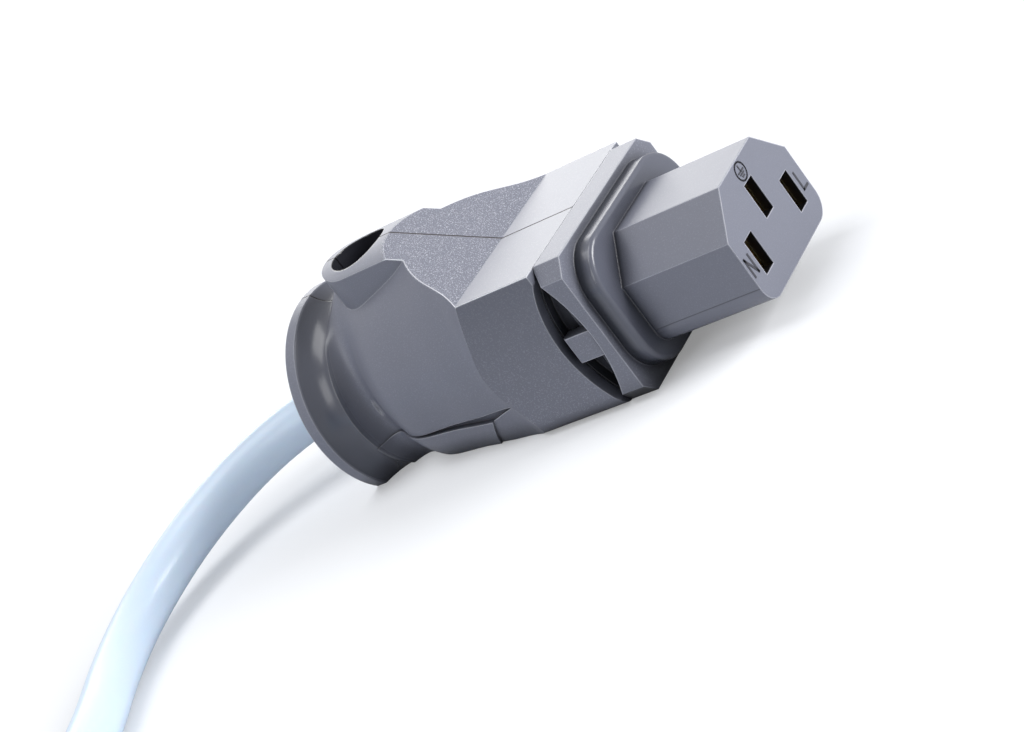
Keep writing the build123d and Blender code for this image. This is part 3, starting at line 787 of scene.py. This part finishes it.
class POWERCORD_OT_housings(Operator):
    """Moulded shells of the connector and the plug."""
    bl_idname = "power_cord.housings"
    bl_label = "Housings"

    def execute(self, context):
        for end, origin in (("connector", Vector((0, 0, 0))), ("plug", HOUSING_SHIFT)):
            finish = shell_finish(end + "_shell_grey", origin)
            for side in ("left", "right"):
                dress(nodes[f"{end}_{side}_shell"], finish)
        return {"FINISHED"}


class POWERCORD_OT_carriers(Operator):
    """Contact carrier with its nose, and pin carrier with its shroud."""
    bl_idname = "power_cord.carriers"
    bl_label = "Carriers"

    def execute(self, context):
        carriers = {"connector": "contact_carrier", "plug": "pin_carrier"}
        for end, origin in (("connector", Vector((0, 0, 0))), ("plug", HOUSING_SHIFT)):
            finish = carrier_finish(end + "_carrier_grey", origin, end == "connector")
            for piece in (carriers[end], "cord_clamp"):
                dress(nodes[f"{end}_{piece}"], finish)
        return {"FINISHED"}


def stroke(mesh, start, end, width, rise):
    """One bar of a mark on the mating face, between two places given across and up."""
    start, end = Vector(start), Vector(end)
    along = (end - start).normalized() * width / 2
    side = Vector((-along.y, along.x))
    corners = [start - along - side, end + along - side, end + along + side, start - along + side]
    base = [mesh.verts.new((FACE_X, c.x, c.y)) for c in corners]
    top = [mesh.verts.new((FACE_X + rise, c.x, c.y)) for c in corners]
    mesh.faces.new(top)
    mesh.faces.new(base[::-1])
    for i in range(4):
        j = (i + 1) % 4
        mesh.faces.new((base[i], base[j], top[j], top[i]))


class POWERCORD_OT_marks(Operator):
    """Generic pole marks on the mating face: N, L and the earth sign."""
    bl_idname = "power_cord.marks"
    bl_label = "Pole marks"

    def execute(self, context):
        sizes = settings().marks
        width, rise = sizes.stroke_width, sizes.stroke_rise
        thin = width * THIN_STROKE
        high, wide = sizes.letter_height / 2, sizes.letter_height / 4
        mesh = bmesh.new()
        y, z = -sizes.letter_place, LINE_Z
        for start, end in (
                ((y - wide, z - high), (y - wide, z + high)),
                ((y - wide, z + high), (y + wide, z - high)),
                ((y + wide, z - high), (y + wide, z + high))):
            stroke(mesh, start, end, width, rise)
        y = sizes.letter_place
        stroke(mesh, (y - wide, z + high), (y - wide, z - high), width, rise)
        stroke(mesh, (y - wide, z - high), (y + wide, z - high), width, rise)
        radius, z = sizes.earth_radius, sizes.earth_place
        ring = [
            (radius * math.cos(math.radians(a)), z + radius * math.sin(math.radians(a)))
            for a in range(0, 361, 15)]
        for start, end in zip(ring, ring[1:]):
            stroke(mesh, start, end, thin, rise)
        # Inside the ring: the stem, then each bar's distance below the middle and half length
        stroke(mesh, (0, z + radius * 0.62), (0, z), thin, rise)
        for drop, half in ((0.0, 0.6), (0.28, 0.4), (0.56, 0.2)):
            y, bar_z = half * radius, z - drop * radius
            stroke(mesh, (-y, bar_z), (y, bar_z), thin, rise)
        bmesh.ops.recalc_face_normals(mesh, faces=mesh.faces)
        data = bpy.data.meshes.new("face_marks")
        mesh.to_mesh(data)
        mesh.free()
        marks = bpy.data.objects.new("face_marks", data)
        context.scene.collection.objects.link(marks)
        dress(marks, marks_painted_shade())
        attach(marks, BODY)
        return {"FINISHED"}


class POWERCORD_OT_metal(Operator):
    """Contacts, pins and screws."""
    bl_idname = "power_cord.metal"
    bl_label = "Metal"

    def execute(self, context):
        brass = metal_finish("contact_brass", (0.76, 0.56, 0.26), 0.24)
        plated = metal_finish("pin_plating", (0.72, 0.70, 0.66), 0.16)
        steel = metal_finish("screw_steel", (0.50, 0.51, 0.53), 0.28)
        dark = metal_finish("housing_screw_black", (0.06, 0.06, 0.07), 0.3)
        for name, node in nodes.items():
            if name.endswith("_contact"):
                dress(node, brass)
            elif name.endswith("_pin"):
                dress(node, plated)
            elif name.endswith("housing_screw"):
                dress(node, dark)
            elif name.endswith("_screw"):
                dress(node, steel)
        return {"FINISHED"}


class POWERCORD_OT_cores(Operator):
    """Jacket ends and coloured cores inside the housings."""
    bl_idname = "power_cord.cores"
    bl_label = "Cores"

    def execute(self, context):
        jacket = bpy.data.materials["cord_jacket"]
        colours = {
            "line": ((0.16, 0.07, 0.03), None),
            "neutral": ((0.03, 0.12, 0.45), None),
            "earth": ((0.10, 0.42, 0.08), (0.75, 0.65, 0.05)),
        }
        finishes = {
            pole: insulation_finish(pole + "_insulation", *pair) for pole, pair in colours.items()}
        for end in ("connector", "plug"):
            dress(nodes[end + "_jacket_end"], jacket)
            for pole, finish in finishes.items():
                dress(nodes[f"{end}_{pole}_core"], finish)
        return {"FINISHED"}


def pile_tree(material):
    """Geometry Nodes that scatter small thread loops over a surface."""
    tree = bpy.data.node_groups.new("strap_pile", "GeometryNodeTree")
    face = tree.interface
    face.new_socket("Geometry", in_out="INPUT", socket_type="NodeSocketGeometry")
    for name in ("Density", "Loop Radius", "Thread Radius"):
        face.new_socket(name, in_out="INPUT", socket_type="NodeSocketFloat")
    face.new_socket("Geometry", in_out="OUTPUT", socket_type="NodeSocketGeometry")
    start = tree.nodes.new("NodeGroupInput")
    end = tree.nodes.new("NodeGroupOutput")
    scatter = tree.nodes.new("GeometryNodeDistributePointsOnFaces")
    loop = tree.nodes.new("GeometryNodeCurveArc")
    loop.inputs["Resolution"].default_value = 6
    loop.inputs["Sweep Angle"].default_value = math.pi
    thread = tree.nodes.new("GeometryNodeCurvePrimitiveCircle")
    thread.inputs["Resolution"].default_value = 4
    tube = tree.nodes.new("GeometryNodeCurveToMesh")
    stand = tree.nodes.new("GeometryNodeTransform")
    stand.inputs["Rotation"].default_value = (math.pi / 2, 0, 0)
    put = tree.nodes.new("GeometryNodeInstanceOnPoints")
    spin = tree.nodes.new("FunctionNodeRandomValue")
    spin.data_type = "FLOAT"
    # Input 3 is a random float's largest value
    spin.inputs[3].default_value = math.tau
    spin.inputs["Seed"].default_value = SPIN_SEED
    turned = tree.nodes.new("ShaderNodeCombineXYZ")
    turn = tree.nodes.new("GeometryNodeRotateInstances")
    real = tree.nodes.new("GeometryNodeRealizeInstances")
    paint = tree.nodes.new("GeometryNodeSetMaterial")
    paint.inputs["Material"].default_value = material
    scatter.inputs["Seed"].default_value = PILE_SEED
    for source, target in (
            (start.outputs["Geometry"], scatter.inputs["Mesh"]),
            (start.outputs["Density"], scatter.inputs["Density"]),
            (start.outputs["Loop Radius"], loop.inputs["Radius"]),
            (start.outputs["Thread Radius"], thread.inputs["Radius"]),
            (loop.outputs["Curve"], tube.inputs["Curve"]),
            (thread.outputs["Curve"], tube.inputs["Profile Curve"]),
            (tube.outputs["Mesh"], stand.inputs["Geometry"]),
            (scatter.outputs["Points"], put.inputs["Points"]),
            (scatter.outputs["Rotation"], put.inputs["Rotation"]),
            (stand.outputs["Geometry"], put.inputs["Instance"]),
            (spin.outputs[1], turned.inputs["Z"]),
            (put.outputs["Instances"], turn.inputs["Instances"]),
            (turned.outputs["Vector"], turn.inputs["Rotation"]),
            (turn.outputs["Instances"], real.inputs["Geometry"]),
            (real.outputs["Geometry"], paint.inputs["Geometry"]),
            (paint.outputs["Geometry"], end.inputs["Geometry"])):
        tree.links.new(source, target)
    return tree


def is_bare(face, middle, lowest):
    """Whether a face of the strap carries no pile: on its inside, at an end, or by the floor."""
    centre = face.calc_center_median()
    inside = face.normal.dot(centre - middle) < 0
    at_end = abs(face.normal.y) > END_TURN
    by_floor = face.normal.z < FLOOR_TURN or centre.z < lowest
    return inside or at_end or by_floor


class POWERCORD_OT_strap(Operator):
    """Hook-and-loop strap round the coil, with its pile of loops."""
    bl_idname = "power_cord.strap"
    bl_label = "Strap"

    def execute(self, context):
        sizes = settings().strap
        weave = strap_finish()
        dress(nodes["coil_strap"], weave)
        base = bmesh.new()
        base.from_mesh(nodes["coil_strap"].data)
        bmesh.ops.remove_doubles(base, verts=base.verts, dist=1e-6)
        base.normal_update()
        low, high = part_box("coil_strap")
        bare = [f for f in base.faces if is_bare(f, (low + high) / 2, sizes.loop_radius)]
        bmesh.ops.delete(base, geom=bare, context="FACES")
        data = bpy.data.meshes.new("strap_outside")
        base.to_mesh(data)
        base.free()
        outside = bpy.data.objects.new("strap_outside", data)
        context.scene.collection.objects.link(outside)
        modifier = outside.modifiers.new("pile", "NODES")
        modifier.node_group = pile_tree(weave)
        values = {
            "Density": sizes.loop_density, "Loop Radius": sizes.loop_radius,
            "Thread Radius": sizes.thread_radius}
        for item in modifier.node_group.interface.items_tree:
            if item.in_out == "INPUT" and item.name in values:
                modifier[item.identifier] = values[item.name]
        seen = outside.evaluated_get(context.evaluated_depsgraph_get())
        pile_mesh = bpy.data.meshes.new_from_object(seen)
        bpy.data.objects.remove(outside)
        pile = bpy.data.objects.new("strap_loops", pile_mesh)
        context.scene.collection.objects.link(pile)
        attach(pile, BODY)
        return {"FINISHED"}


class POWERCORD_PT_panel(Panel):
    """Sizes and steps of the power cord."""
    bl_idname = "POWERCORD_PT_panel"
    bl_label = "Power Cord"
    bl_space_type = "VIEW_3D"
    bl_region_type = "UI"
    bl_category = "Power Cord"

    def draw(self, context):
        layout = self.layout
        sizes = settings()
        for group in (sizes.cord, sizes.housing, sizes.marks, sizes.strap, sizes.stage):
            box = layout.box()
            for name in group.__annotations__:
                box.prop(group, name)
        for step in STEPS:
            layout.operator(step.bl_idname)


STEPS = (
    POWERCORD_OT_stage,
    POWERCORD_OT_cord,
    POWERCORD_OT_housings,
    POWERCORD_OT_carriers,
    POWERCORD_OT_marks,
    POWERCORD_OT_metal,
    POWERCORD_OT_cores,
    POWERCORD_OT_strap,
)
CLASSES = (
    CordSizes, HousingSizes, MarkSizes, StrapSizes, StageSizes, PowerCordSettings, *STEPS,
    POWERCORD_PT_panel,
)


def register():
    for cls in CLASSES:
        bpy.utils.register_class(cls)
    bpy.types.Scene.power_cord = PointerProperty(type=PowerCordSettings)


def unregister():
    del bpy.types.Scene.power_cord
    for cls in reversed(CLASSES):
        bpy.utils.unregister_class(cls)


def main():
    register()
    for step in STEPS:
        group, name = step.bl_idname.split(".")
        getattr(getattr(bpy.ops, group), name)()


if __name__ == "__main__":
    main()
